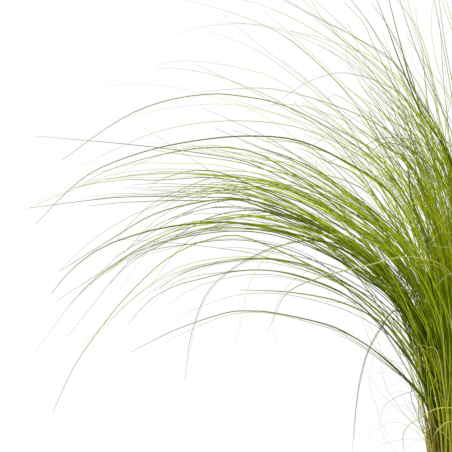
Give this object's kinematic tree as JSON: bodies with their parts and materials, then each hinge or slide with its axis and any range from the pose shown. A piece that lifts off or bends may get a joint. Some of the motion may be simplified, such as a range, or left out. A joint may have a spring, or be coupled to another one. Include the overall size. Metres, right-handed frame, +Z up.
{
  "type": "potted ornamental grass",
  "caption": "Clump of hair-fine ornamental grass arching out evenly on all sides from the soil of a plain round clay pot with a rim band; stands on its flat base.",
  "frame": {"origin": "centre of the pot's flat base, on the surface it stands on", "axes": "+Z up the pot's axis; -Y is the side that the picture shows, with -X the picture's left"},
  "size_m": [0.7976, 0.7795, 0.6756],
  "materials": {
    "terracotta": "matt fired clay, lightly mottled",
    "potting_soil": "moist dark crumbs",
    "crown_husk": "dry straw-brown fibres",
    "grass_leaf": "fresh lime to olive green, satin"
  },
  "bodies": {
    "root": {"pot": "terracotta", "soil": "potting_soil", "crown": "crown_husk", "tuft_01": "grass_leaf", "tuft_02": "grass_leaf", "tuft_03": "grass_leaf", "tuft_04": "grass_leaf", "tuft_05": "grass_leaf", "tuft_06": "grass_leaf", "tuft_07": "grass_leaf", "tuft_08": "grass_leaf", "tuft_09": "grass_leaf", "tuft_10": "grass_leaf", "tuft_11": "grass_leaf", "tuft_12": "grass_leaf", "tuft_13": "grass_leaf", "tuft_14": "grass_leaf", "tuft_15": "grass_leaf", "tuft_16": "grass_leaf", "tuft_17": "grass_leaf", "tuft_18": "grass_leaf", "tuft_19": "grass_leaf", "tuft_20": "grass_leaf", "tuft_21": "grass_leaf", "tuft_22": "grass_leaf", "tuft_23": "grass_leaf", "tuft_24": "grass_leaf", "tuft_25": "grass_leaf", "tuft_26": "grass_leaf", "tuft_27": "grass_leaf", "tuft_28": "grass_leaf", "tuft_29": "grass_leaf", "tuft_30": "grass_leaf", "tuft_31": "grass_leaf", "tuft_32": "grass_leaf", "tuft_33": "grass_leaf", "tuft_34": "grass_leaf", "tuft_35": "grass_leaf", "tuft_36": "grass_leaf", "tuft_37": "grass_leaf", "tuft_38": "grass_leaf", "tuft_39": "grass_leaf", "tuft_40": "grass_leaf", "tuft_41": "grass_leaf", "tuft_42": "grass_leaf", "tuft_43": "grass_leaf", "tuft_44": "grass_leaf", "tuft_45": "grass_leaf", "tuft_46": "grass_leaf", "tuft_47": "grass_leaf", "tuft_48": "grass_leaf"}
  },
  "joints": []
}
